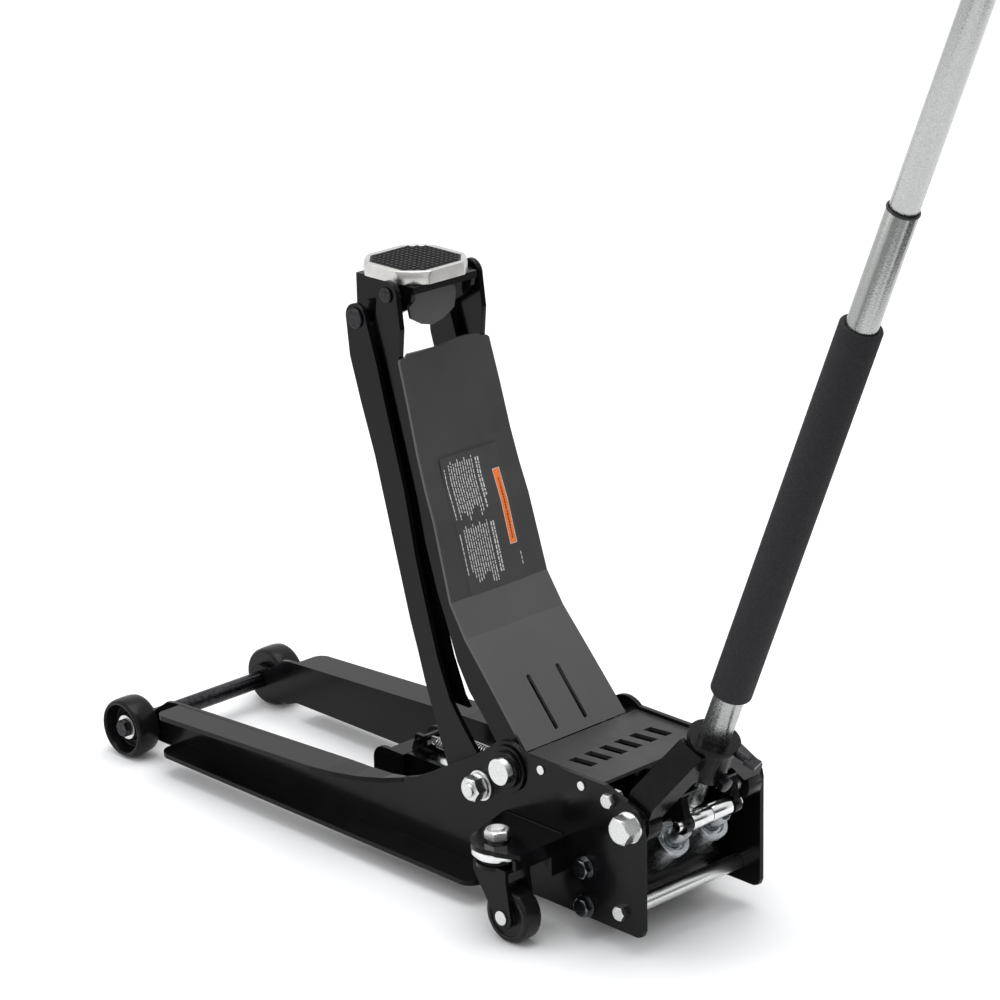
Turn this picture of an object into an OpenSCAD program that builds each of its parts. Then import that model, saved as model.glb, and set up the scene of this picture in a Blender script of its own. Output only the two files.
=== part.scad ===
// Hydraulic floor jack with a long two-piece handle, drawn with the arm raised.
// X runs from the front axle to the handle end, Z is up, and Y=0 is the middle plane.
// The origin is on the floor, directly below the front axle.

/* [Frame] */
// half width over the two side plates
plate_outer = 81; // [79:0.5:86]
// side plate thickness
plate_t = 5; // [4:0.5:6]
// half width over the front rails
rail_outer = 114; // [110:1:120]
// height of the side plates' lower edge
plate_bottom = 20.5; // [18:0.5:23]
// height of the side plates' straight upper edge
plate_top = 160.5; // [158:0.5:166]
// rear end of the side plates
frame_rear = 723; // [720:1:735]
// height of the rail's upper edge at its front end
rail_front_h = 65; // [62:1:68]
// height of the rail's upper edge at its rear end
rail_rear_h = 80; // [76:1:82]
// rear end of the rail's lower flange
rail_rear_x = 528; // [500:1:530]
// rear cross rod diameter
rod_d = 15; // [12:0.5:17]

/* [Top cover] */
// front edge of the top cover
top_x0 = 563; // [562:1:570]
// rear edge of the top cover
top_x1 = 663; // [655:1:668]
// cover sheet thickness
top_t = 3.5; // [2.5:0.5:5]
// number of slots through the cover
top_slots = 6; // [4:1:7]

/* [Wheels] */
// front wheel diameter
wheel_d = 62.6; // [60:0.2:66]
// front wheel width
wheel_w = 30; // [26:0.5:31]
// front axle diameter
axle_d = 18; // [16:0.5:20]
// caster wheel diameter
caster_d = 54; // [50:1:58]
// caster wheel width
caster_w = 22; // [18:0.5:24]
// distance from swivel axis back to caster axle
caster_trail = 20; // [16:0.5:22]
// swivel axis, distance behind the front axle
caster_x = 584; // [582:0.5:588]
// swivel axis, distance from the middle plane
caster_y = 131; // [130:0.5:134]
// caster bracket height
bracket_z = 95; // [93:0.5:98]

/* [Arm] */
// arm pivot, distance behind the front axle
arm_x = 548; // [546:0.5:550]
// arm pivot height
arm_z = 140; // [139:0.5:142]
// arm pivot shaft diameter
shaft_d = 26; // [22:1:28]
// outside of the pivot tube
tube_d = 33; // [31:0.5:36]
// half width over the arm plates
arm_outer = 56; // [55:0.5:57]
// arm plate thickness
arm_t = 6; // [4:0.5:7]
// half width of the arm cover at its upper end
cover_top_w = 58; // [56:0.5:60]
// half width of the arm cover at its lower end
cover_low_w = 66.5; // [62:0.5:69]
// arm cover thickness
cover_t = 3; // [2:0.5:4]
// arm top pin diameter
top_pin_d = 12; // [10:0.5:12.5]
// radius of the arm's upper end
arm_top_r = 13.5; // [12:0.5:15]
// crank radius from the arm pivot to the studs
crank_r = 95; // [93:0.5:97]
// crank stud diameter
stud_d = 13; // [11:0.5:14]

/* [Links] */
// link pivot, distance in front of the arm pivot
link_dx = 37; // [36:0.5:38]
// link pivot, distance below the arm pivot
link_dz = 28; // [27:0.5:29]
// link plate thickness
link_t = 5; // [4:0.5:5.5]
// thickness of the web along each link's front edge
link_web_t = 4; // [3:0.5:5]
// link width at its upper end
link_w = 28; // [24:0.5:30]
// link pin diameter
link_pin_d = 14; // [12:0.5:16]

/* [Saddle] */
// saddle ring size across its flats
saddle_w = 88; // [84:1:100]
// height of the saddle ring
saddle_h = 13; // [10:0.5:15]
// pad size across its flats
pad_w = 76; // [72:1:82]
// saddle plate thickness
saddle_plate_t = 5; // [4:0.5:7]
// half width over the bracket's cheeks
cheek_outer = 41; // [40:0.5:42]

/* [Hydraulics] */
// ram diameter
ram_d = 28; // [24:1:32]
// cylinder outside diameter
cyl_d = 46; // [44:0.5:48]
// cylinder bore diameter
bore_d = 38; // [36:0.5:40]
// height of the ram's axis
ram_z = 60; // [59:0.5:62]
// pump barrel diameter
barrel_d = 30; // [26:0.5:32]
// pump plunger diameter
plunger_d = 17; // [14:0.5:18]
// roller diameter
roller_d = 17; // [15:0.5:18]
// distance from the middle plane to each pump
pump_y = 26; // [24:0.5:28]

/* [Handle] */
// socket pivot, distance behind the front axle
sock_x = 707.4; // [705:0.2:711]
// socket pivot height
sock_z = 129.6; // [128:0.2:136]
// handle angle above the floor
handle_tilt = 68.2; // [66:0.2:70]
// lower tube diameter
tube_low_d = 29; // [26:0.5:31]
// upper tube diameter
tube_up_d = 26.6; // [24:0.2:28]
// grip sleeve outside diameter
grip_d = 39.5; // [36:0.5:42]
// where the grip begins, along the handle
grip_t0 = 131; // [120:1:140]
// grip length
grip_l = 405; // [380:5:420]
// joint between the tubes, along the handle
joint_t = 652; // [620:2:660]
// whole handle length from the pivot
handle_l = 1219; // [1000:1:1230]

/* [Fits] */
// radial clearance of a pin or shaft in its hole
run_c = 0.05; // [0.02:0.01:0.1]
// side clearance between parts that turn past each other
side_c = 0.5; // [0.35:0.05:0.8]

/* [Hidden] */
$fn = 64;
plate_in = plate_outer - plate_t;
axle_z = wheel_d / 2;
wheel_in = rail_outer - wheel_w;
link_x = arm_x - link_dx;
link_z = arm_z - link_dz;
top_dx = -179;
top_dz = 420;
atop_x = arm_x + top_dx;
atop_z = arm_z + top_dz;
ltop_x = link_x + top_dx;
ltop_z = link_z + top_dz;
arm_in = arm_outer - arm_t;
lo_in = arm_outer + 2;
lo_out = lo_in + link_t;
li_out = arm_in - 4;
li_in = cheek_outer + side_c;
hub_r = tube_d / 2 + 1.1;
top_front = max(top_x0, arm_x + hub_r - 2.6);
crank_a = 37.5;
crank_out = li_in - 1.5;
crank_in = crank_out - 6.5;
bar_out = crank_in - 1;
bar_in = bar_out - 5.5;
stud_x = arm_x - crank_r * sin(crank_a);
stud_z = arm_z - crank_r * cos(crank_a);
stud_low = arm_z - crank_r;
slot_w = stud_d + 4.2;
saddle_x = 349;
plate_z = 563;
ring_z = plate_z + saddle_plate_t;
pad_z = ring_z + saddle_h;
under_r = arm_in - side_c;
under_h = atop_z + arm_top_r + 0.4 - ring_z;
hc = cos(handle_tilt);
hs = sin(handle_tilt);
pin_dx = 20.1;
pin_dz = 7.1;
ear_x = pin_dx * hs + pin_dz * hc;
ear_z = pin_dx * hc - pin_dz * hs;
pump_a = 45;
cap_x = sock_x + 1.4;
cap_z = sock_z - 28.5;
barrel_l = 50;
pin_t = (sock_x + pin_dx - cap_x) * cos(pump_a) + (sock_z - pin_dz - cap_z) * sin(pump_a);
plunger_top = pin_t - roller_d / 2 - 1.25;

// a plate cut to the 2D shape (x, z), lying between y0 and y1
module slab(y0, y1) {
  translate([0, y1, 0])
    rotate([90, 0, 0])
      linear_extrude(y1 - y0)
        children();
}

// a round bar along Y
module rod_y(x, z, d, y0, y1) {
  translate([x, y1, z])
    rotate([90, 0, 0])
      cylinder(d = d, h = y1 - y0);
}

// a round bar along X
module rod_x(x0, x1, y, z, d) {
  translate([x0, y, z])
    rotate([0, 90, 0])
      cylinder(d = d, h = x1 - x0);
}

// a hexagon measured across its flats, its corners chamfered at the bottom
module hex_head(af, h) {
  intersection() {
    cylinder(d = af / cos(30), h = h, $fn = 6);
    rotate_extrude()
      polygon([[0, 0], [af * 0.47, 0], [af * 0.59, af * 0.07], [af * 0.59, h], [0, h]]);
  }
}

// a hexagon head along Y with its chamfer at y1
module hex_y(x, z, af, y0, y1) {
  translate([x, y1, z])
    rotate([90, 0, 0])
      hex_head(af, y1 - y0);
}

// the same part on both sides
module both() {
  children();
  mirror([0, 1, 0])
    children();
}

// ---- frame ----

module side_outline() {
  polygon([
    [0, axle_z - 16.5], [44, plate_bottom - 5.5], [60, plate_bottom],
    [frame_rear - 8, plate_bottom], [frame_rear - 2.4, plate_bottom + 2.4],
    [frame_rear, plate_bottom + 8], [frame_rear, 134], [frame_rear - 1.5, 140.5],
    [frame_rear - 6, 146.5], [frame_rear - 14, 150.5], [frame_rear - 33, 155.5],
    [frame_rear - 49, plate_top],
    [arm_x + 18, plate_top], [arm_x, 150], [arm_x - 14, 163], [arm_x - 30, 150.5],
    [arm_x - 53, 136], [465, 119], [438, 103], [420, 93.5], [400, rail_rear_h + 6.5],
    [380, rail_rear_h + 3], [350, rail_rear_h + 1], [319, rail_rear_h],
    [48, rail_front_h], [38, rail_front_h - 2], [16, axle_z + 15.5], [0, axle_z + 16.5]
  ]);
  translate([0, axle_z])
    circle(r = 16.5);
  translate([arm_x, arm_z])
    circle(r = 27);
}

module top_flange_outline() {
  polygon([
    [58, rail_front_h + 0.2], [319, rail_rear_h], [350, rail_rear_h + 1],
    [380, rail_rear_h + 3], [400, rail_rear_h + 6.5], [400, rail_rear_h + 1.5],
    [380, rail_rear_h - 2], [350, rail_rear_h - 4], [319, rail_rear_h - 5],
    [58, rail_front_h - 4.8]
  ]);
}

module rail_plan() {
  difference() {
    translate([58, plate_in, 0])
      cube([342, rail_outer - plate_in, 200]);
    translate([58, rail_outer - 12, -1])
      difference() {
        translate([-1, 0, 0])
          cube([13, 13, 202]);
        translate([12, 0, 0])
          cylinder(r = 12, h = 202);
      }
    translate([0, 0, -1])
      linear_extrude(202)
        polygon([[300, rail_outer + 1], [300, rail_outer], [330, rail_outer - 4],
          [360, rail_outer - 13], [382, rail_outer - 24], [401, plate_outer], [401, rail_outer + 1]]);
  }
}

module side_frame() {
  difference() {
    union() {
      slab(plate_in, plate_outer)
        side_outline();
      intersection() {
        slab(plate_in, rail_outer)
          top_flange_outline();
        rail_plan();
      }
      difference() {
        translate([60, plate_in, plate_bottom])
          cube([rail_rear_x - 60, rail_outer - plate_in, 5]);
        translate([59, rail_outer - 16, plate_bottom - 1])
          difference() {
            cube([17, 17, 7]);
            translate([17, 0, 0])
              cylinder(r = 16, h = 7);
          }
        translate([rail_rear_x - 16, rail_outer - 16, plate_bottom - 1])
          difference() {
            cube([17, 17, 7]);
            cylinder(r = 16, h = 7);
          }
      }
    }
    rod_y(0, axle_z, axle_d, plate_in - 1, plate_outer + 1);
    rod_y(arm_x, arm_z, shaft_d, plate_in - 1, plate_outer + 1);
    rod_y(link_x, link_z, link_pin_d, plate_in - 1, plate_outer + 1);
    rod_y(sock_x, sock_z, 16, plate_in - 1, plate_outer + 1);
    rod_y(695, 40, 8, plate_in - 1, plate_outer + 1);
    rod_y(681, 148, 8, plate_in - 1, plate_outer + 1);
    rod_y(649, 71, 11, plate_in - 1, plate_outer + 1);
    rod_y(649, 32, 11, plate_in - 1, plate_outer + 1);
    rod_y(592, 151.5, 5, plate_in - 1, plate_outer + 1);
    rod_y(645, 151.5, 5, plate_in - 1, plate_outer + 1);
  }
}

module side_frame_near() {
  color([0.05, 0.05, 0.05])
    mirror([0, 1, 0])
      side_frame();
}

module side_frame_far() {
  color([0.05, 0.05, 0.05])
    side_frame();
}

// rod through both rails, with a hexagon head outside each wheel
module front_axle() {
  color([0.1, 0.1, 0.1])
    rod_y(0, axle_z, axle_d, -rail_outer + 7.5, rail_outer - 7.5);
  color([0.1, 0.1, 0.1])
    both()
      hex_y(0, axle_z, 16, rail_outer - 7.6, rail_outer - 1);
}

module axle_washers() {
  color([0.8, 0.8, 0.8])
    both()
      difference() {
        rod_y(0, axle_z, 26, rail_outer - 9.2, rail_outer - 7.6);
        rod_y(0, axle_z, axle_d, rail_outer - 10, rail_outer - 7);
      }
}

// plate between the side plates behind the arm, with plain slanted slots
module top_cover() {
  color([0.08, 0.08, 0.08])
    difference() {
      union() {
        translate([top_front, -plate_in, plate_top - 7])
          cube([top_x1 - top_front, 2 * plate_in, top_t]);
        both()
          translate([top_front + 4, plate_in - 3, plate_top - 15])
            cube([top_x1 - top_front - 8, 3, 8]);
      }
      for (i = [0:top_slots - 1])
        translate([615, (i - (top_slots - 1) / 2) * 20, plate_top - 12])
          linear_extrude(12)
            polygon([[-12, -7], [14, -3], [14, 7], [-12, 3]]);
      both()
        union() {
          rod_y(592, 151.5, 5, plate_in - 9, plate_in + 1);
          rod_y(645, 151.5, 5, plate_in - 9, plate_in + 1);
        }
    }
}

module cover_screws() {
  color([0.75, 0.75, 0.75])
    both()
      for (x = [592, 645])
        union() {
          rod_y(x, 151.5, 5, plate_in - 6, plate_outer + 0.5);
          rod_y(x, 151.5, 9, plate_outer, plate_outer + 1.8);
        }
}

module rear_cross_rod() {
  color([0.8, 0.8, 0.8])
    difference() {
      rod_y(695, 40, rod_d, -plate_in, plate_in);
      both()
        rod_y(695, 40, 8, plate_in - 22, plate_in + 1);
    }
}

// bolts into the rear cross rod, and a bolt with its nut through each side plate
module frame_bolts() {
  color([0.8, 0.8, 0.8])
    both()
      union() {
        rod_y(695, 40, 8, plate_in - 20, plate_outer + 0.5);
        hex_y(695, 40, 13, plate_outer, plate_outer + 6);
      }
  color([0.8, 0.8, 0.8])
    both()
      union() {
        rod_y(681, 148, 8, plate_in - 9, plate_outer + 0.5);
        hex_y(681, 148, 13, plate_outer, plate_outer + 6);
        hex_y(681, 148, 13, plate_in - 6.5, plate_in);
      }
}

module caster_bracket() {
  difference() {
    union() {
      translate([0, 0, bracket_z - 5])
        linear_extrude(5)
          union() {
            polygon([[541, plate_outer], [559, caster_y + 11], [caster_x - 12, caster_y + 23.1],
              [caster_x + 20, caster_y + 22], [626, caster_y + 12], [624, plate_outer]]);
            translate([caster_x, caster_y])
              circle(r = 26);
          }
      slab(plate_outer, plate_outer + 4)
        polygon([[541, bracket_z - 5], [624, bracket_z - 5], [624, 62], [600, 54], [565, 54], [541, 70]]);
      translate([620, plate_outer, 60])
        cube([4, caster_y + 4 - plate_outer, bracket_z - 65]);
      translate([620, caster_y + 4, 80])
        cube([4, 12, bracket_z - 85]);
    }
    translate([caster_x, caster_y, bracket_z - 10])
      cylinder(d = 14, h = 20);
    translate([caster_x, caster_y, 0])
      cylinder(r = 50, h = bracket_z - 16);
  }
}

module caster_bracket_near() {
  color([0.05, 0.05, 0.05])
    mirror([0, 1, 0])
      caster_bracket();
}

module caster_bracket_far() {
  color([0.05, 0.05, 0.05])
    caster_bracket();
}

// swivel bolt with a spring washer and a nut above the bracket
module swivel_bolts() {
  color([0.8, 0.8, 0.8])
    both()
      translate([caster_x, caster_y, 0])
        union() {
          translate([0, 0, bracket_z - 30])
            cylinder(d = 14, h = 42.5);
          translate([0, 0, bracket_z - 30])
            cylinder(d = 22, h = 5);
          translate([0, 0, bracket_z])
            cylinder(d = 20, h = 2.5);
          translate([0, 0, bracket_z + 11])
            rotate([180, 0, 0])
              hex_head(22, 8.5);
        }
}

module bearing_races() {
  color([0.85, 0.85, 0.85])
    both()
      translate([caster_x, caster_y, bracket_z - 15])
        difference() {
          union() {
            cylinder(d = 44, h = 10);
            translate([0, 0, 3])
              cylinder(d = 50, h = 7);
          }
          translate([0, 0, -1])
            cylinder(d = 14, h = 12);
        }
}

// ---- hydraulic unit ----

module unit_block() {
  color([0.15, 0.15, 0.15])
    difference() {
      union() {
        slab(-49, 49)
          polygon([[630, 26], [680, 26], [684, 49], [697, 57], [678, 84], [672, 98], [630, 98]]);
        slab(-plate_in, plate_in)
          polygon([[637, 24], [661, 24], [661, 82], [637, 82]]);
        both()
          slab(18, 22)
            polygon([[604, 80], [630, 70], [630, 98], [604, 98]]);
        rod_y(608, 92, 7, -22, 22);
      }
      both()
        union() {
          rod_y(649, 71, 11, 54, plate_in + 1);
          rod_y(649, 32, 11, 54, plate_in + 1);
          translate([cap_x, pump_y, cap_z])
            rotate([0, 90 - pump_a, 0])
              translate([0, 0, -barrel_l])
                cylinder(d = barrel_d, h = barrel_l);
        }
      rod_x(620, 642, 0, ram_z, cyl_d);
      translate([sock_x, 0, sock_z])
        rotate([0, 205, 0])
          translate([0, 0, 30])
            cylinder(d = 14 + 2 * run_c, h = 42);
    }
}

module unit_bolts() {
  color([0.2, 0.2, 0.2])
    both()
      for (z = [71, 32])
        union() {
          rod_y(649, z, 11, 56, plate_outer + 0.5);
          rod_y(649, z, 22, plate_outer, plate_outer + 2);
          hex_y(649, z, 17, plate_outer + 2, plate_outer + 9);
        }
}

module cylinder_body() {
  difference() {
    rod_x(474, 642, 0, ram_z, cyl_d);
    rod_x(484, 632, 0, ram_z, bore_d);
    rod_x(470, 490, 0, ram_z, ram_d + 2 * run_c);
  }
}

module oil_tank() {
  color([0.12, 0.12, 0.12])
    difference() {
      union() {
        translate([606, -31, 98])
          cube([62, 62, 44]);
        translate([640, -16, 142])
          cylinder(d = 14, h = 5);
      }
      translate([610, -27, 102])
        cube([54, 54, 36]);
    }
}

// pump barrels leaning back from the block, each with a wider cap ring
module pump_barrels() {
  color([0.85, 0.85, 0.85])
    both()
      translate([cap_x, pump_y, cap_z])
        rotate([0, 90 - pump_a, 0])
          difference() {
            union() {
              translate([0, 0, -barrel_l])
                cylinder(d = barrel_d, h = barrel_l);
              translate([0, 0, -9])
                cylinder(d = barrel_d + 4, h = 9);
            }
            translate([0, 0, 2 - barrel_l])
              cylinder(d = plunger_d + 2 * run_c, h = barrel_l);
            translate([0, 0, -3])
              cylinder(d = plunger_d + 7, h = 4);
          }
}

module pivot_shaft() {
  color([0.85, 0.85, 0.85])
    union() {
      rod_y(arm_x, arm_z, shaft_d, -plate_outer - 14, plate_outer + 14);
    }
}

module pivot_washers() {
  color([0.1, 0.1, 0.1])
    both()
      difference() {
        union() {
          rod_y(arm_x, arm_z, 46, plate_outer, plate_outer + 3);
          rod_y(arm_x, arm_z, 36, plate_outer + 3, plate_outer + 7);
        }
        rod_y(arm_x, arm_z, shaft_d, plate_outer - 1, plate_outer + 8);
      }
}

module link_bolts() {
  color([0.75, 0.75, 0.75])
    both()
      union() {
        rod_y(link_x, link_z, link_pin_d, arm_outer + 1, plate_outer + 20);
        rod_y(link_x, link_z, link_pin_d + 8, lo_out + side_c, plate_in);
      }
}

module link_nuts() {
  color([0.8, 0.8, 0.8])
    both()
      difference() {
        union() {
          rod_y(link_x, link_z, 30, plate_outer, plate_outer + 2.5);
          rod_y(link_x, link_z, 26, plate_outer + 2.5, plate_outer + 5.5);
          hex_y(link_x, link_z, 22, plate_outer + 5.5, plate_outer + 17);
        }
        rod_y(link_x, link_z, link_pin_d, plate_outer - 1, plate_outer + 21);
      }
}

// the near bolt has the tall head and a washer, the far one a low head
module socket_bolts() {
  color([0.85, 0.85, 0.85])
    union() {
      mirror([0, 1, 0])
        union() {
          rod_y(sock_x, sock_z, 16, 54, plate_outer + 5);
          rod_y(sock_x, sock_z, 30, plate_outer, plate_outer + 3);
          hex_y(sock_x, sock_z, 24, plate_outer + 3, plate_outer + 17);
        }
      union() {
        rod_y(sock_x, sock_z, 16, 54, plate_outer + 0.5);
        hex_y(sock_x, sock_z, 22, plate_outer, plate_outer + 5);
      }
    }
}

// ---- ram and its pull yoke ----

module ram() {
  color([0.85, 0.85, 0.85])
    rod_x(353, 500, 0, ram_z, ram_d);
}

module ram_piston() {
  color([0.3, 0.3, 0.3])
    rod_x(500, 514, 0, ram_z, bore_d - 2 * run_c);
}

module crosshead() {
  color([0.07, 0.07, 0.07])
    difference() {
      union() {
        translate([330, -33, 38])
          cube([23, 66, 45]);
        both()
          slab(33, 38)
            union() {
              polygon([[309, 38], [353, 38], [353, 83], [324, 83], [309, 68]]);
              translate([324, 68])
                circle(r = 15);
            }
        both()
          slab(15, 20)
            polygon([[346, 83], [353, 83], [364, 88], [364, 100], [352, 100]]);
        rod_y(358, 94, 6, -24, 24);
      }
    }
}

// side bars that pull the crank studs forward, slotted for their rise and fall
module pull_bars() {
  color([0.07, 0.07, 0.07])
    both()
      difference() {
        slab(bar_in, bar_out)
          polygon([[353, 38], [stud_x + 18, stud_low - 13], [stud_x + 18, 78], [stud_x + 10, 83], [353, 83]]);
        slab(bar_in - 1, bar_out + 1)
          union() {
            translate([stud_x - slot_w / 2, stud_low - 1])
              square([slot_w, stud_z - stud_low + 2]);
            translate([stud_x, stud_low - 1])
              circle(d = slot_w);
            translate([stud_x, stud_z + 1])
              circle(d = slot_w);
          }
      }
}

// return springs, stretched between the crosshead and the hydraulic unit
module return_springs() {
  color([0.7, 0.7, 0.7])
    both()
      difference() {
        union() {
          rod_x(362, 604.5, 9, 93, 11);
        }
        rod_x(372, 594, 9, 93, 7.5);
      }
}

// ---- arm ----

module arm_outline() {
  polygon([
    [atop_x - arm_top_r, atop_z - 1], [352, 532], [363, 500], [377, 458], [390.4, 414],
    [405, 364.5], [413.5, 326], [428.6, 279], [440, 251.5], [454, 214.5], [470, 188],
    [489, 167.6], [507, 145], [516, 132], [arm_x - 10, arm_z - hub_r + 4],
    [arm_x, arm_z], [arm_x + 7, 153], [507, 207], [474, 243.5], [453, 275],
    [431, 350], [420, 378], [409, 411], [397, 455], [383.5, 500], [atop_x + 17.3, 529],
    [atop_x + arm_top_r, atop_z - 1]
  ]);
  translate([atop_x, atop_z])
    circle(r = arm_top_r);
  translate([arm_x, arm_z])
    circle(r = hub_r);
}

module arm_plate() {
  difference() {
    slab(arm_in, arm_outer)
      arm_outline();
    rod_y(atop_x, atop_z, top_pin_d, arm_in - 1, arm_outer + 1);
    rod_y(arm_x, arm_z, shaft_d + 2 * run_c, arm_in - 1, arm_outer + 1);
  }
}

module arm_plate_near() {
  color([0.05, 0.05, 0.05])
    mirror([0, 1, 0])
      arm_plate();
}

module arm_plate_far() {
  color([0.05, 0.05, 0.05])
    arm_plate();
}

// bent cover on the arm's back, wider at its lower end, with two slots
module arm_cover() {
  color([0.33, 0.33, 0.34])
    difference() {
      intersection() {
        slab(-cover_low_w, cover_low_w)
          polygon([
            [381.8, 505.7], [397, 455], [409, 411], [420, 378], [431, 350], [453, 275],
            [474, 243.5], [507, 207], [555, 153], [555 + cover_t * 0.8, 153 + cover_t * 0.7],
            [507 + cover_t * 0.75, 207 + cover_t * 0.7], [474 + cover_t * 0.8, 243.5 + cover_t * 0.6],
            [453 + cover_t * 0.92, 275 + cover_t * 0.4], [431 + cover_t * 0.95, 350 + cover_t * 0.33],
            [420 + cover_t * 0.95, 378 + cover_t * 0.33], [409 + cover_t * 0.95, 411 + cover_t * 0.33],
            [397 + cover_t * 0.95, 455 + cover_t * 0.28], [381.8 + cover_t * 0.95, 505.7 + cover_t * 0.28]
          ]);
        translate([300, 0, 0])
          rotate([90, 0, 90])
            linear_extrude(300)
              polygon([
                [-cover_low_w, 140], [cover_low_w, 140], [cover_low_w, 160], [cover_top_w, 498],
                [cover_top_w - 2, 500], [cover_top_w - 9, 501], [cover_top_w - 13, 503.5], [30, 505],
                [16, 505], [2, 503.5], [-12, 502.5], [-28, 503], [13 - cover_top_w, 503.5],
                [9 - cover_top_w, 501], [2 - cover_top_w, 500], [-cover_top_w, 498], [-cover_low_w, 160]
              ]);
      }
      both()
        translate([507, 19.4, 207])
          rotate([0, 138, 0])
            translate([-10, 0, 4])
              rotate([0, 90, 0])
                linear_extrude(20)
                  union() {
                    translate([-57, -2.5])
                      square([55, 5]);
                    translate([-57, 0])
                      circle(d = 5);
                    translate([-2, 0])
                      circle(d = 5);
                  }
      rod_y(arm_x, arm_z, 2 * hub_r + 0.2, -80, 80);
    }
}

module pivot_tube() {
  color([0.1, 0.1, 0.1])
    difference() {
      rod_y(arm_x, arm_z, tube_d, -arm_in, arm_in);
      rod_y(arm_x, arm_z, shaft_d + 2 * run_c, -arm_in - 1, arm_in + 1);
    }
}

module crank_plates() {
  color([0.1, 0.1, 0.1])
    both()
      difference() {
        slab(crank_in, crank_out)
          union() {
            polygon([[arm_x - hub_r + 2, arm_z + 5], [stud_x - 12, stud_z + 5], [stud_x - 6, stud_z - 11],
              [stud_x + 9, stud_z - 9], [arm_x + 9, arm_z - hub_r + 3], [arm_x, arm_z]]);
            translate([stud_x, stud_z])
              circle(r = 13);
            translate([arm_x, arm_z])
              circle(r = hub_r);
          }
        rod_y(arm_x, arm_z, tube_d, crank_in - 1, crank_out + 1);
        rod_y(stud_x, stud_z, stud_d, crank_in - 1, crank_out + 1);
      }
}

module crank_studs() {
  color([0.7, 0.7, 0.7])
    both()
      rod_y(stud_x, stud_z, stud_d, bar_in - 1, crank_out);
}

module arm_top_pins() {
  color([0.12, 0.12, 0.12])
    both()
      union() {
        rod_y(atop_x, atop_z, top_pin_d, cheek_outer - 9, arm_outer);
        rod_y(atop_x, atop_z, top_pin_d + 3, arm_outer, arm_outer + 2.5);
      }
}

// thin printed label lying on the cover's upper part
module arm_label() {
  color([0.6, 0.35, 0.15])
    slab(-38, 38)
      polygon([[411 + cover_t * 0.95 + 2.4, 403 + cover_t * 0.33], [420 + cover_t * 0.95, 378 + cover_t * 0.33],
        [431 + cover_t * 0.95, 350 + cover_t * 0.33], [453 + cover_t * 0.92, 275 + cover_t * 0.4],
        [453.4 + cover_t * 0.92, 275.1 + cover_t * 0.4], [431.4 + cover_t * 0.95, 350.1 + cover_t * 0.33],
        [420.4 + cover_t * 0.95, 378.1 + cover_t * 0.33], [411.4 + cover_t * 0.95 + 2.4, 403.1 + cover_t * 0.33]]);
}

// ---- links ----

module link_outline() {
  polygon([
    [ltop_x - link_w / 2, ltop_z + 1], [322.2, 493.3], [335.8, 450.4], [353.4, 400.2],
    [373, 329.2], [396.4, 245.4], [406.5, 215.2], [415.2, 186.7], [430.5, 144.4],
    [444, 108], [458, 98], [485, 93], [link_x, link_z - 19], [link_x + 14, link_z - 13],
    [link_x + 19, link_z], [link_x + 14, link_z + 13], [link_x, link_z + 19],
    [485.8, 131.5], [465.8, 154.6], [449.8, 175.8], [434.4, 212.6], [423.2, 250.5],
    [407.2, 307.3], [393.1, 374.4], [382.1, 411.8], [368.7, 458.5], [359, 494],
    [ltop_x + link_w / 2, ltop_z + 1]
  ]);
  translate([ltop_x, ltop_z])
    circle(d = link_w);
  translate([link_x, link_z])
    circle(r = 19);
}

module link_web_outline() {
  polygon([
    [322.2, 493.3], [335.8, 450.4], [353.4, 400.2], [373, 329.2], [396.4, 245.4],
    [406.5, 215.2], [415.2, 186.7], [430.5, 144.4], [430.5 + link_web_t, 146],
    [415.2 + link_web_t, 188], [406.5 + link_web_t, 216.2], [396.4 + link_web_t, 246.4],
    [373 + link_web_t, 330.2], [353.4 + link_web_t, 401.2], [335.8 + link_web_t, 451.4],
    [322.2 + link_web_t, 494.3]
  ]);
}

// outer plate down to the bolt, short inner plate, and a web that joins their front edges
module link_channel() {
  difference() {
    union() {
      slab(lo_in, lo_out)
        link_outline();
      intersection() {
        slab(li_in, li_out)
          link_outline();
        translate([250, 0, 165])
          cube([300, 100, 450]);
      }
      slab(li_in, lo_out)
        link_web_outline();
    }
    rod_y(link_x, link_z, link_pin_d + 2 * run_c, 0, 100);
    rod_y(ltop_x, ltop_z, link_pin_d, 0, 100);
  }
}

module link_channel_near() {
  color([0.06, 0.06, 0.06])
    mirror([0, 1, 0])
      link_channel();
}

module link_channel_far() {
  color([0.06, 0.06, 0.06])
    link_channel();
}

module link_top_pins() {
  color([0.12, 0.12, 0.12])
    both()
      union() {
        rod_y(ltop_x, ltop_z, link_pin_d, cheek_outer - 8, lo_out);
        rod_y(ltop_x, ltop_z, link_pin_d + 6, lo_out, lo_out + 2.5);
      }
}

// ---- saddle ----

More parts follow.
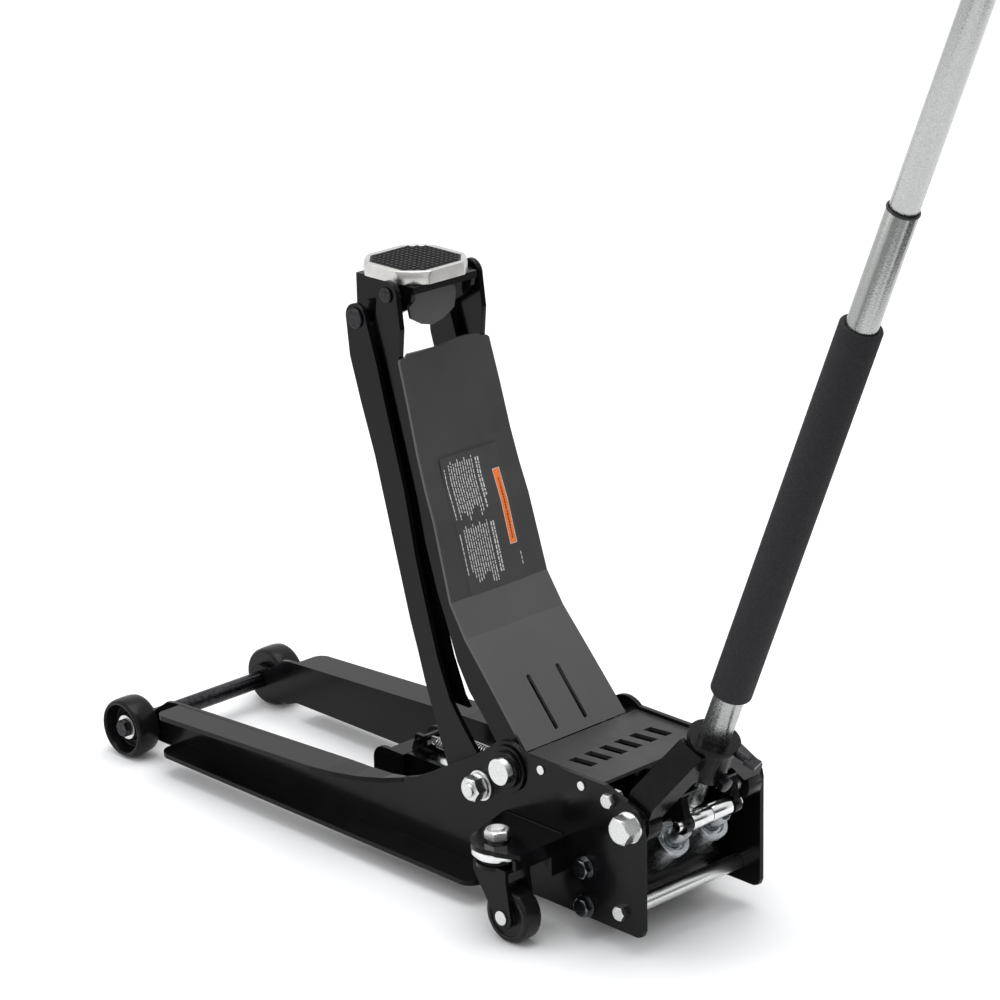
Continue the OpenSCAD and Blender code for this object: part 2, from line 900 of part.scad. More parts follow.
module saddle_bracket() {
  color([0.08, 0.08, 0.08])
    difference() {
      union() {
        translate([saddle_x - 39, -cheek_outer, plate_z])
          cube([80, 2 * cheek_outer, saddle_plate_t]);
        translate([saddle_x + 37, -cheek_outer, plate_z - 2])
          cube([4, 2 * cheek_outer, saddle_plate_t + 2]);
        both()
          slab(cheek_outer - 5, cheek_outer)
            union() {
              polygon([[saddle_x - 39, plate_z], [saddle_x - 39, ltop_z + 4], [ltop_x - 14, ltop_z - 4],
                [ltop_x, ltop_z - 15], [ltop_x + 12, ltop_z - 10], [atop_x + 6, atop_z - 18],
                [atop_x + 17, atop_z - 7], [saddle_x + 39, plate_z]]);
              translate([atop_x, atop_z])
                intersection() {
                  circle(r = 12);
                  translate([-20, -20])
                    square([40, plate_z - atop_z + 20]);
                }
              translate([ltop_x, ltop_z])
                circle(r = 15);
            }
      }
      rod_y(ltop_x, ltop_z, link_pin_d + 2 * run_c, -60, 60);
      both()
        rod_y(atop_x, atop_z, top_pin_d + 2 * run_c, cheek_outer - 9.5, 60);
      translate([saddle_x, 0, plate_z - 1])
        cylinder(d = 30 + 2 * run_c, h = 20);
    }
}

module saddle_web() {
  color([0.3, 0.3, 0.3])
    translate([atop_x - 1, 0, 0])
      rotate([90, 0, 90])
        linear_extrude(4)
          polygon([[-31, plate_z], [31, plate_z], [31, 545], [28, 531], [14, 523], [0, 519.5], [-14, 523],
            [-28, 531], [-31, 545]]);
}

module saddle_ring() {
  color([0.85, 0.85, 0.85])
    translate([saddle_x, 0, ring_z])
      difference() {
        union() {
          intersection() {
            translate([-saddle_w / 2, -saddle_w / 2, 0])
              cube([saddle_w, saddle_w, saddle_h]);
            rotate_extrude($fn = 96)
              polygon([[0, 0], [under_r, 0], [under_r, under_h], [saddle_w / 2 + 5.6, under_h + 2],
                [saddle_w / 2 + 4.2, saddle_h], [0, saddle_h]]);
          }
          translate([0, 0, -saddle_plate_t - 3])
            cylinder(d = 30, h = saddle_plate_t + 4);
        }
        translate([0, 0, saddle_h - 6])
          linear_extrude(7)
            pad_outline();
      }
}

module pad_outline() {
  intersection() {
    square([pad_w, pad_w], center = true);
    rotate(45)
      square([pad_w * 1.13, pad_w * 1.13], center = true);
  }
}

module saddle_pad() {
  color([0.04, 0.04, 0.04])
    translate([saddle_x, 0, pad_z - 6])
      linear_extrude(7)
        pad_outline();
}

// ---- wheels ----

module front_wheel() {
  translate([0, rail_outer, axle_z])
    rotate([90, 0, 0])
      rotate_extrude($fn = 96)
        polygon([
          [axle_d / 2 + run_c, 10], [14, 10], [15, 14], [wheel_d / 2 - 9, 14],
          [wheel_d / 2 - 5.5, 1], [wheel_d / 2 - 3, 0], [wheel_d / 2 - 0.8, 3],
          [wheel_d / 2, 9], [wheel_d / 2, wheel_w - 9], [wheel_d / 2 - 0.8, wheel_w - 3],
          [wheel_d / 2 - 3, wheel_w], [axle_d / 2 + run_c, wheel_w]
        ]);
}

module front_wheel_near() {
  color([0.05, 0.05, 0.05])
    mirror([0, 1, 0])
      front_wheel();
}

module front_wheel_far() {
  color([0.05, 0.05, 0.05])
    front_wheel();
}

module caster_fork() {
  translate([caster_x, caster_y, 0])
    difference() {
      union() {
        translate([0, 0, bracket_z - 23.5])
          cylinder(d = 42, h = 4);
        translate([0, -16, bracket_z - 23.5])
          cube([26, 32, 4]);
        both()
          slab(caster_w / 2 + 1, caster_w / 2 + 5)
            union() {
              polygon([[-17, bracket_z - 19.5], [-17, bracket_z - 30], [caster_trail - 12, caster_d / 2 + 2],
                [caster_trail + 12, caster_d / 2], [26, bracket_z - 30], [26, bracket_z - 19.5]]);
              translate([caster_trail, caster_d / 2])
                circle(r = 12);
            }
        translate([0, 0, bracket_z - 19.5])
          cylinder(d = 36, h = 4);
      }
      translate([0, 0, bracket_z - 40])
        cylinder(d = 14 + 2 * run_c, h = 30);
      translate([0, 0, bracket_z - 31])
        cylinder(d = 24, h = 7.5);
      rod_y(caster_trail, caster_d / 2, 9, -30, 30);
    }
}

module caster_fork_near() {
  color([0.07, 0.07, 0.07])
    mirror([0, 1, 0])
      caster_fork();
}

module caster_fork_far() {
  color([0.07, 0.07, 0.07])
    caster_fork();
}

module caster_wheel() {
  translate([caster_x + caster_trail, caster_y + caster_w / 2, caster_d / 2])
    rotate([90, 0, 0])
      rotate_extrude($fn = 80)
        polygon([
          [4.5 + run_c, 0], [9, 0], [9, 2.5], [caster_d / 2 - 7, 2.5], [caster_d / 2 - 6, 0],
          [caster_d / 2 - 2, 0], [caster_d / 2, 3], [caster_d / 2, caster_w - 3],
          [caster_d / 2 - 2, caster_w], [caster_d / 2 - 6, caster_w], [caster_d / 2 - 7, caster_w - 2.5],
          [9, caster_w - 2.5], [9, caster_w], [4.5 + run_c, caster_w]
        ]);
}

module caster_wheel_near() {
  color([0.05, 0.05, 0.05])
    mirror([0, 1, 0])
      caster_wheel();
}

module caster_wheel_far() {
  color([0.05, 0.05, 0.05])
    caster_wheel();
}

module caster_pin() {
  translate([caster_x + caster_trail, caster_y, caster_d / 2])
    union() {
      rod_y(0, 0, 9, -caster_w / 2 - 5, caster_w / 2 + 5);
      rod_y(0, 0, 14, caster_w / 2 + 5, caster_w / 2 + 7);
      rod_y(0, 0, 14, -caster_w / 2 - 7, -caster_w / 2 - 5);
    }
}

module caster_pin_near() {
  color([0.8, 0.8, 0.8])
    mirror([0, 1, 0])
      caster_pin();
}

module caster_pin_far() {
  color([0.8, 0.8, 0.8])
    caster_pin();
}

// ---- handle, socket, pump plungers and valve ----

// moves to the handle's own line: Z runs up the handle from the socket pivot
module on_handle() {
  translate([sock_x, 0, sock_z])
    rotate([0, 90 - handle_tilt, 0])
      children();
}

module handle_socket() {
  color([0.08, 0.08, 0.08])
    difference() {
      union() {
        on_handle()
          union() {
            translate([0, 0, 38])
              cylinder(d = tube_low_d + 15, h = 40);
            translate([0, 0, 71])
              cylinder(d = tube_low_d + 21, h = 7);
            both()
              translate([-18, 0, 0])
                rotate([90, 0, 90])
                  linear_extrude(30)
                    polygon([[14, 40], [20, 70], [26, 70], [73, 27], [74, 24], [74, -12], [60, -12],
                      [60, 8], [26, 40]]);
            translate([18, -6, 36])
              cube([6, 12, 12]);
            both()
              union() {
                slab(28.5, 37)
                  union() {
                    polygon([[11, 27], [ear_x + 8.6, ear_z + 1.5], [ear_x - 4, ear_z - 7.8], [-4, 12],
                      [-8, 38], [4, 38], [4, 29]]);
                    translate([ear_x, ear_z])
                      circle(r = 9);
                  }
                translate([-6, 16, 27])
                  cube([18, 21, 3.5]);
                translate([-6, 16, 27])
                  cube([12, 6, 18]);
              }
          }
        both()
          rod_y(sock_x, sock_z, 36, 58, plate_in - side_c);
      }
      on_handle()
        union() {
          translate([0, 0, 34])
            cylinder(d = tube_low_d + 2 * run_c, h = 60);
          rotate([0, 0, 15])
            translate([tube_low_d / 2 + 1, 0, 74])
              rotate([0, 90, 0])
                cylinder(d = 7, h = 20);
        }
      rod_y(sock_x, sock_z, 16 + 2 * run_c, -plate_in, plate_in);
      rod_y(sock_x + pin_dx, sock_z - pin_dz, 10, -44, 44);
    }
}

// roller pin across the socket's ears with its two rollers
module pump_rollers() {
  color([0.85, 0.85, 0.85])
    union() {
      rod_y(sock_x + pin_dx, sock_z - pin_dz, 10, -42, 42);
      rod_y(sock_x + pin_dx, sock_z - pin_dz, roller_d, -26, -0.4);
      rod_y(sock_x + pin_dx, sock_z - pin_dz, roller_d, 0.4, 26);
    }
}

module clamp_screw() {
  color([0.8, 0.8, 0.8])
    on_handle()
      union() {
        rotate([0, 0, 15])
          translate([tube_low_d / 2 + 1.5, 0, 74])
            rotate([0, 90, 0])
              union() {
                cylinder(d = 7, h = 23);
                translate([-2, -7, 20])
                  cube([4, 14, 12]);
              }
        translate([31, 0, 42])
          rotate([0, -90, 0])
            hex_head(13, 7);
      }
}

module lower_tube() {
  color([0.65, 0.66, 0.67])
    on_handle()
      union() {
        difference() {
          translate([0, 0, 35])
            cylinder(d = tube_low_d, h = joint_t - 35);
          translate([0, 0, 44])
            cylinder(d = tube_up_d, h = joint_t);
        }
        difference() {
          translate([0, 0, 3])
            cylinder(d = 20, h = 32);
          translate([0, 0, 0])
            sphere(d = 16);
        }
      }
}

module grip() {
  color([0.1, 0.1, 0.1])
    on_handle()
      translate([0, 0, grip_t0])
        difference() {
          cylinder(d = grip_d, h = grip_l);
          translate([0, 0, -1])
            cylinder(d = tube_low_d, h = grip_l + 2);
        }
}

module joint_ring() {
  color([0.05, 0.05, 0.05])
    on_handle()
      translate([0, 0, joint_t])
        difference() {
          cylinder(d = tube_low_d + 1.4, h = 2.5);
          translate([0, 0, -1])
            cylinder(d = tube_up_d, h = 5);
        }
}

module upper_tube() {
  color([0.65, 0.66, 0.67])
    on_handle()
      translate([0, 0, joint_t - 90])
        difference() {
          cylinder(d = tube_up_d, h = handle_l - joint_t + 84);
          translate([0, 0, -1])
            cylinder(d = tube_up_d - 4, h = handle_l - joint_t + 100);
        }
}

module end_cap() {
  color([0.05, 0.05, 0.05])
    on_handle()
      union() {
        translate([0, 0, handle_l - 6])
          cylinder(d = tube_up_d + 2, h = 6);
        translate([0, 0, handle_l - 26])
          cylinder(d = tube_up_d - 4, h = 20);
      }
}

// plungers that the rollers press into the barrels
module pump_plungers() {
  color([0.8, 0.8, 0.8])
    both()
      translate([cap_x, pump_y, cap_z])
        rotate([0, 90 - pump_a, 0])
          union() {
            translate([0, 0, -22])
              cylinder(d = plunger_d, h = 22 + plunger_top);
          }
}

// valve spindle with a ball that the handle's end turns
module release_valve() {
  color([0.7, 0.7, 0.7])
    union() {
      translate([sock_x, 0, sock_z])
        sphere(d = 14);
      translate([sock_x, 0, sock_z])
        rotate([0, 205, 0])
          union() {
            cylinder(d = 8, h = 32);
            translate([0, 0, 32])
              cylinder(d = 14, h = 36);
          }
    }
}

module cylinder_node() {
  color([0.2, 0.2, 0.2])
    cylinder_body();
}

side_frame_near();
side_frame_far();
front_axle();
axle_washers();
top_cover();
cover_screws();
rear_cross_rod();
frame_bolts();
caster_bracket_near();
caster_bracket_far();
swivel_bolts();
bearing_races();
unit_block();
unit_bolts();
cylinder_node();  // cylinder
oil_tank();
pump_barrels();
pivot_shaft();
pivot_washers();
link_bolts();
link_nuts();
socket_bolts();
ram();
ram_piston();
crosshead();
pull_bars();
return_springs();
arm_plate_near();
arm_plate_far();
arm_cover();
pivot_tube();
crank_plates();
crank_studs();
arm_top_pins();
arm_label();
link_channel_near();
link_channel_far();
link_top_pins();
saddle_bracket();
saddle_web();
saddle_ring();
saddle_pad();
front_wheel_near();
front_wheel_far();
caster_fork_near();
caster_fork_far();
caster_wheel_near();
caster_wheel_far();
caster_pin_near();
caster_pin_far();
handle_socket();
pump_rollers();
clamp_screw();
lower_tube();
grip();
joint_ring();
upper_tube();
end_cap();
pump_plungers();
release_valve();
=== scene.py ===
import math
import random

import bmesh
import bpy
from mathutils import Matrix, Vector
from mathutils.bvhtree import BVHTree


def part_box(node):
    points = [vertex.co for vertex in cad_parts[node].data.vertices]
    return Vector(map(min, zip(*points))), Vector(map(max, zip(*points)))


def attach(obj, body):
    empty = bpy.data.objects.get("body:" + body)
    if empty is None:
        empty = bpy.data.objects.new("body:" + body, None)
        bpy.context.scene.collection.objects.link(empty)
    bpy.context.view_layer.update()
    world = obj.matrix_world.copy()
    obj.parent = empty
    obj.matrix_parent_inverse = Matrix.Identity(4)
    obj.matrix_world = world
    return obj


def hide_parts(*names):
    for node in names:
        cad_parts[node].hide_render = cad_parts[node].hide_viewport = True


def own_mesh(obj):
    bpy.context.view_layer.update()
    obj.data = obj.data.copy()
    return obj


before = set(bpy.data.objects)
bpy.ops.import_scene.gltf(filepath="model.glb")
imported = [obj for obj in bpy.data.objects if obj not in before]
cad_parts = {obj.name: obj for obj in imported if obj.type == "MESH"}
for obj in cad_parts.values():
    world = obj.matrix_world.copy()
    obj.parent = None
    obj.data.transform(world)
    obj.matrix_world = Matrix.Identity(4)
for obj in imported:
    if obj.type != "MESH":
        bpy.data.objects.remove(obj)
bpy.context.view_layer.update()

scene = bpy.context.scene
scene.view_settings.view_transform = "Standard"
scene.view_settings.look = "None"

# ---- side frames ----
# Two pressed steel side plates with turned-out rails, coated in gloss black powder paint.
# Cut from 5 mm sheet, folded, and bolted to the cross rods and the hydraulic unit.

# most of a noise texture's values lie between these two
noise_low = 0.3
noise_high = 0.7


def new_finish(name, colour, roughness, metallic=0.0, specular=0.5):
    """A Principled finish whose uniform values sit on the shader's own sockets."""
    finish = bpy.data.materials.new(name)
    finish.use_nodes = True
    tree = finish.node_tree
    shader = tree.nodes["Principled BSDF"]
    shader.inputs["Base Color"].default_value = (*colour, 1)
    shader.inputs["Roughness"].default_value = roughness
    shader.inputs["Metallic"].default_value = metallic
    shader.inputs["Specular IOR Level"].default_value = specular
    return finish, tree, shader


def place_pattern(tree, scale=(1, 1, 1)):
    """Object coordinates in metres, scaled for a pattern."""
    coords = tree.nodes.new("ShaderNodeTexCoord")
    mapping = tree.nodes.new("ShaderNodeMapping")
    mapping.inputs["Scale"].default_value = scale
    tree.links.new(coords.outputs["Object"], mapping.inputs["Vector"])
    return mapping.outputs["Vector"]


def cloud(tree, place, spots, detail):
    """A soft noise value of so many spots per metre."""
    noise = tree.nodes.new("ShaderNodeTexNoise")
    noise.inputs["Scale"].default_value = spots
    noise.inputs["Detail"].default_value = detail
    tree.links.new(place, noise.inputs["Vector"])
    return noise.outputs["Fac"]


def cells(tree, place, spots):
    """The distance from the middle of small round cells, so many per metre."""
    pattern = tree.nodes.new("ShaderNodeTexVoronoi")
    pattern.inputs["Scale"].default_value = spots
    tree.links.new(place, pattern.inputs["Vector"])
    return pattern.outputs["Distance"]


def vary_colour(tree, shader, value, dark, light):
    """Base colour that runs from dark to light with the value."""
    ramp = tree.nodes.new("ShaderNodeValToRGB")
    for stop, at, colour in zip(
        ramp.color_ramp.elements, (noise_low, noise_high), (dark, light)
    ):
        stop.position = at
        stop.color = (*colour, 1)
    tree.links.new(value, ramp.inputs["Fac"])
    tree.links.new(ramp.outputs["Color"], shader.inputs["Base Color"])


def vary_roughness(tree, shader, value, low, high):
    """Roughness between two limits with the value."""
    span = tree.nodes.new("ShaderNodeMapRange")
    span.inputs["From Min"].default_value = noise_low
    span.inputs["From Max"].default_value = noise_high
    span.inputs["To Min"].default_value = low
    span.inputs["To Max"].default_value = high
    tree.links.new(value, span.inputs["Value"])
    tree.links.new(span.outputs["Result"], shader.inputs["Roughness"])


def raise_grain(tree, shader, value, strength, height):
    """Fine relief from the value, height in metres."""
    bump = tree.nodes.new("ShaderNodeBump")
    bump.inputs["Strength"].default_value = strength
    bump.inputs["Distance"].default_value = height
    tree.links.new(value, bump.inputs["Height"])
    tree.links.new(bump.outputs["Normal"], shader.inputs["Normal"])


def powder_paint(name, dark, light, rough_low, rough_high, specular):
    """Powder paint with a slight orange peel and uneven gloss."""
    finish, tree, shader = new_finish(name, light, rough_low, specular=specular)
    place = place_pattern(tree)
    vary_colour(tree, shader, cloud(tree, place, 14, 4), dark, light)
    vary_roughness(tree, shader, cloud(tree, place, 60, 5), rough_low, rough_high)
    raise_grain(tree, shader, cloud(tree, place, 520, 2), 0.10, 0.0002)
    return finish


def dress(node, finish):
    """Gives a CAD node its finish."""
    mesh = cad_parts[node].data
    mesh.materials.clear()
    mesh.materials.append(finish)


def ease_edges(node, width, segments, sharper_than):
    """Breaks a CAD node's edges, as paint, plating or a deburring tool leaves them.

    The loose triangles are joined and cleared from the flats first, so that only the real
    edges, sharper than so many degrees, are bevelled.
    """
    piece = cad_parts[node]
    weld = piece.modifiers.new("join_faces", "WELD")
    weld.merge_threshold = 2e-6
    flat = piece.modifiers.new("clean_flats", "DECIMATE")
    flat.decimate_type = "DISSOLVE"
    flat.angle_limit = math.radians(0.4)
    bevel = piece.modifiers.new("eased_edges", "BEVEL")
    bevel.width = width
    bevel.segments = segments
    bevel.limit_method = "ANGLE"
    bevel.angle_limit = math.radians(sharper_than)
    bevel.profile = 0.5
    bevel.harden_normals = True


def finish_nodes(finish, edge, *nodes, segments=2, sharper_than=38):
    """Dresses CAD nodes and eases their edges by so many metres."""
    for node in nodes:
        dress(node, finish)
        ease_edges(node, edge, segments, sharper_than)


black_paint = powder_paint(
    "gloss_black_paint", (0.0022, 0.0022, 0.0026), (0.0042, 0.0042, 0.0048), 0.13, 0.22, 0.13
)
finish_nodes(black_paint, 0.0007, "side_frame_near", "side_frame_far")

# ---- cross rods ----
# The front axle is black oxide bar, the rear rod bright zinc bar. Both tie the two side
# plates together, and bolts close their ends.


def turned_metal(name, dark, light, rough_low, rough_high, spots=260):
    """Plated or oiled steel with faint cloudy plating and fine scratches."""
    finish, tree, shader = new_finish(name, light, rough_low, metallic=1.0)
    place = place_pattern(tree)
    vary_colour(tree, shader, cloud(tree, place, spots, 5), dark, light)
    vary_roughness(tree, shader, cloud(tree, place, spots * 2, 4), rough_low, rough_high)
    raise_grain(tree, shader, cloud(tree, place, 2400, 3), 0.05, 0.00005)
    return finish


dark_oxide = turned_metal(
    "black_oxide", (0.018, 0.018, 0.02), (0.05, 0.05, 0.054), 0.28, 0.42
)
bright_zinc = turned_metal(
    "bright_zinc", (0.55, 0.56, 0.55), (0.76, 0.76, 0.75), 0.22, 0.34, 900
)
finish_nodes(dark_oxide, 0.0004, "front_axle")
finish_nodes(bright_zinc, 0.0004, "axle_washers", "rear_cross_rod")

# ---- top cover ----
# Sheet between the side plates behind the arm, in a less glossy black paint, with plain
# slanted slots. Small plated screws hold it.
cover_black = powder_paint(
    "satin_black_paint", (0.024, 0.024, 0.024), (0.032, 0.032, 0.032), 0.30, 0.42, 0.22
)
finish_nodes(cover_black, 0.0003, "top_cover")
finish_nodes(bright_zinc, 0.0003, "cover_screws")

# ---- bolts and nuts ----
# Hexagon hardware with chamfered corners: zinc-plated on the frame, links and socket,
# dark plated on the hydraulic unit. The washers on the pivot shaft are painted.
finish_nodes(
    bright_zinc, 0.0006,
    "frame_bolts", "swivel_bolts", "link_bolts", "link_nuts", "socket_bolts", "pivot_shaft",
)
gunmetal = turned_metal(
    "gunmetal_plating", (0.10, 0.11, 0.12), (0.20, 0.21, 0.22), 0.14, 0.24, 300
)
finish_nodes(gunmetal, 0.0004, "unit_bolts")
finish_nodes(black_paint, 0.0006, "pivot_washers")

# ---- caster brackets and swivels ----
# Folded and welded steel brackets on the side plates, each with a swivel bolt and a
# bright pressed bearing race below it. The forks turn under the races.
finish_nodes(
    black_paint, 0.0006,
    "caster_bracket_near", "caster_bracket_far", "caster_fork_near", "caster_fork_far",
)
polished = turned_metal(
    "polished_steel", (0.66, 0.67, 0.67), (0.82, 0.82, 0.82), 0.14, 0.22, 120
)
finish_nodes(polished, 0.0008, "bearing_races")
finish_nodes(bright_zinc, 0.0005, "caster_pin_near", "caster_pin_far")

# ---- wheels ----
# Turned steel front wheels in gloss black, and moulded black caster wheels. Both run on
# plain pins and have rounded tread edges.
wheel_paint = powder_paint(
    "wheel_paint", (0.003, 0.003, 0.003), (0.006, 0.006, 0.006), 0.18, 0.30, 0.16
)
finish_nodes(
    wheel_paint, 0.0009, "front_wheel_near", "front_wheel_far", segments=3, sharper_than=14
)
caster_plastic = powder_paint(
    "caster_nylon", (0.004, 0.004, 0.0045), (0.008, 0.008, 0.0085), 0.22, 0.36, 0.20
)
finish_nodes(
    caster_plastic, 0.0008, "caster_wheel_near", "caster_wheel_far", segments=3, sharper_than=14
)

# ---- hydraulic unit ----
# A cast steel block with a welded cylinder and a sheet oil tank, painted black, and two
# bright pump barrels that lean back out of it.


def rough_casting(name, dark, light, rough_low, rough_high):
    """Sand-cast iron under black paint, with the casting's grain still showing."""
    finish, tree, shader = new_finish(name, light, rough_low, specular=0.14)
    place = place_pattern(tree)
    vary_colour(tree, shader, cloud(tree, place, 90, 6), dark, light)
    vary_roughness(tree, shader, cloud(tree, place, 240, 5), rough_low, rough_high)
    raise_grain(tree, shader, cloud(tree, place, 300, 5), 0.22, 0.0005)
    return finish


cast_black = rough_casting(
    "painted_casting", (0.0022, 0.0022, 0.0026), (0.0048, 0.0048, 0.0055), 0.12, 0.26
)
finish_nodes(cast_black, 0.0012, "unit_block", "cylinder", "oil_tank")
satin_steel = turned_metal(
    "satin_steel", (0.34, 0.36, 0.37), (0.48, 0.50, 0.51), 0.24, 0.36, 160
)
finish_nodes(satin_steel, 0.0008, "pump_barrels")
finish_nodes(satin_steel, 0.0006, "pump_plungers")
finish_nodes(bright_zinc, 0.0004, "release_valve")

# ---- ram and pull yoke ----
# Chromed ram with its piston, the welded crosshead it pushes, and the slotted bars that
# pull the arm's crank studs forward.
finish_nodes(polished, 0.0006, "ram", "ram_piston")
finish_nodes(black_paint, 0.0006, "crosshead", "pull_bars")

# ---- return springs ----
# Two close-wound extension springs of bright wire, with a hook at each end. They pull the
# ram back and the arm down when the valve is opened.
spring_wire = turned_metal(
    "spring_wire", (0.40, 0.40, 0.40), (0.72, 0.72, 0.72), 0.16, 0.30, 500
)
spring_low, spring_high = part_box("return_springs")
wire_radius = 0.00085
wire_sides = 6
coil_radius = (spring_high.z - spring_low.z) / 2 - wire_radius
coil_z = (spring_high.z + spring_low.z) / 2
coil_y = spring_high.y - coil_radius - wire_radius
coil_inset = 0.010
coil_start = spring_low.x + coil_inset
coil_end = spring_high.x - coil_inset
coil_turns = 64
points_per_turn = 14
hook_radius = 0.0045
hook_inset = 0.0010
hook_points = 12
hook_from, hook_sweep = -20, 250

springs = bmesh.new()
for side in (-1, 1):
    middle_y = side * coil_y
    coil = []
    coil_points = coil_turns * points_per_turn
    for i in range(coil_points + 1):
        angle = 2 * math.pi * i / points_per_turn
        along = coil_start + (coil_end - coil_start) * i / coil_points
        across = middle_y + coil_radius * math.sin(angle)
        coil.append(Vector((along, across, coil_z + coil_radius * math.cos(angle))))
    hook_front = []
    hook_back = []
    for i in range(hook_points + 1):
        angle = math.radians(hook_from + hook_sweep * i / hook_points)
        reach = hook_inset + hook_radius - hook_radius * math.sin(angle)
        height = coil_z + hook_radius * math.cos(angle)
        hook_front.append(Vector((spring_low.x + reach, middle_y, height)))
        hook_back.append(Vector((spring_high.x - reach, middle_y, height)))
    wire_path = hook_front[::-1] + coil + hook_back
    last_point = len(wire_path) - 1
    previous = None
    for i, point in enumerate(wire_path):
        ahead = wire_path[min(i + 1, last_point)] - wire_path[max(i - 1, 0)]
        turn = ahead.to_track_quat("Z", "Y").to_matrix().to_4x4()
        ring = bmesh.ops.create_circle(
            springs,
            cap_ends=i in (0, last_point),
            segments=wire_sides,
            radius=wire_radius,
            matrix=Matrix.Translation(point) @ turn,
        )["verts"]
        if previous:
            # start the ring at the corner that twists the wire least
            gaps = []
            for k in range(wire_sides):
                shifted = ring[k:] + ring[:k]
                gaps.append(sum((a.co - b.co).length for a, b in zip(shifted, previous)))
            first = gaps.index(min(gaps))
            ring = ring[first:] + ring[:first]
            for j in range(wire_sides):
                k = (j + 1) % wire_sides
                springs.faces.new((previous[j], previous[k], ring[k], ring[j]))
        previous = ring


def finish_piece(name, shape, finish, body, smooth=True):
    """Makes a bmesh into a piece with outward faces that rides on a body."""
    bmesh.ops.recalc_face_normals(shape, faces=shape.faces)
    mesh = bpy.data.meshes.new(name)
    shape.to_mesh(mesh)
    shape.free()
    for face in mesh.polygons:
        face.use_smooth = smooth
    mesh.materials.append(finish)
    piece = bpy.data.objects.new(name, mesh)
    scene.collection.objects.link(piece)
    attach(piece, body)
    return piece


spring_piece = finish_piece("return_spring_coils", springs, spring_wire, "frame")
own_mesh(spring_piece)
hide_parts("return_springs")

# ---- lift arm ----
# Two black side plates with a bent grey cover over their back, a pivot tube and cranks
# at the lower end, and pins at the top.
finish_nodes(
    black_paint, 0.0007, "arm_plate_near", "arm_plate_far", "pivot_tube", "crank_plates"
)
finish_nodes(bright_zinc, 0.0004, "crank_studs")
finish_nodes(dark_oxide, 0.0008, "arm_top_pins")
cover_grey = powder_paint(
    "gloss_grey_paint", (0.050, 0.050, 0.050), (0.058, 0.058, 0.058), 0.16, 0.24, 0.45
)
finish_nodes(cover_grey, 0.0005, "arm_cover")

# ---- weld beads ----
# Hand-laid fillet beads where the caster brackets meet the side plates, ground lightly and
# painted over with the frame.
bracket_low, bracket_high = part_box("caster_bracket_near")
bead_count = 34
bead_pitch = 0.0022
bead_radius = 0.0017
bead_start = bracket_low.x + 0.004
bead_z = bracket_high.z - 0.0004
bead_sink = 0.0006

beads = bmesh.new()
for side in (-1, 1):
    # the brackets mirror each other, and the bead lies where each meets its plate
    bead_y = (bracket_high.y if side < 0 else -bracket_high.y) - bead_sink
    for i in range(bead_count):
        place = Matrix.Translation((bead_start + i * bead_pitch, bead_y, bead_z))
        bmesh.ops.create_uvsphere(
            beads, u_segments=8, v_segments=5, radius=bead_radius, matrix=place
        )
finish_piece("bracket_weld_beads", beads, black_paint, "frame")

# ---- arm label ----
# Clear printed film on the cover's upper part: rows of fine white print in two blocks and
# an orange stripe with a white border. The print is plain dashes, with no lettering.
film, tree, shader = new_finish("label_film", (0.05, 0.05, 0.05), 0.30, specular=0.45)
place = place_pattern(tree)
vary_colour(tree, shader, cloud(tree, place, 14, 4), (0.054, 0.054, 0.054), (0.062, 0.062, 0.062))
vary_roughness(tree, shader, cloud(tree, place, 60, 5), 0.16, 0.24)
dress("arm_label", film)

label_low, label_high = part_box("arm_label")
label_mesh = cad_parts["arm_label"].data
label_skin = BVHTree.FromPolygons(
    [v.co.copy() for v in label_mesh.vertices], [tuple(p.vertices) for p in label_mesh.polygons]
)
label_slope = (label_high.x - label_low.x) / (label_high.z - label_low.z)
label_normal = Vector((1, 0, label_slope)).normalized()


def on_label(across, down, lift):
    """A point on the label: across in Y, down from its top edge, both in metres."""
    height = label_high.z - down * label_normal.x
    above = Vector((label_high.x + 0.05, across, height))
    return label_skin.ray_cast(above, Vector((-1, 0, 0)))[0] + label_normal * lift


# longest stretch of print that lies flat
print_step = 0.003


def print_bar(ink, across0, across1, down0, down1, lift):
    """One printed bar on the label, cut into short lengths so that it follows the film."""
    lengths = max(1, int((down1 - down0) / print_step))
    last = None
    for i in range(lengths + 1):
        down = down0 + (down1 - down0) * i / lengths
        pair = [ink.verts.new(on_label(across, down, lift)) for across in (across0, across1)]
        if last:
            ink.faces.new((last[0], pair[0], pair[1], last[1]))
        last = pair


def new_verts(extruded):
    """The vertices that an extrusion made."""
    return [v for v in extruded["geom"] if isinstance(v, bmesh.types.BMVert)]


def finish_print(name, ink, thickness, finish):
    """Gives printed bars a thin closed body and fixes them to the arm."""
    extruded = bmesh.ops.extrude_face_region(ink, geom=list(ink.faces), use_keep_orig=True)
    bmesh.ops.translate(ink, verts=new_verts(extruded), vec=label_normal * -thickness)
    finish_piece(name, ink, finish, "arm", smooth=False)


def ink_finish(name, colour, roughness, spots, detail, dark, light):
    """Printing ink with a slightly uneven tone."""
    finish, tree, shader = new_finish(name, colour, roughness)
    vary_colour(tree, shader, cloud(tree, place_pattern(tree), spots, detail), dark, light)
    return finish


white_ink = ink_finish(
    "white_print", (0.62, 0.62, 0.60), 0.45, 900, 2, (0.40, 0.40, 0.40), (0.72, 0.72, 0.70)
)
orange_ink = ink_finish(
    "orange_print", (0.80, 0.16, 0.02), 0.40, 300, 3, (0.78, 0.15, 0.018), (0.86, 0.19, 0.03)
)
dark_ink = ink_finish(
    "dark_print", (0.05, 0.02, 0.01), 0.40, 500, 2, (0.10, 0.03, 0.01), (0.03, 0.012, 0.008)
)
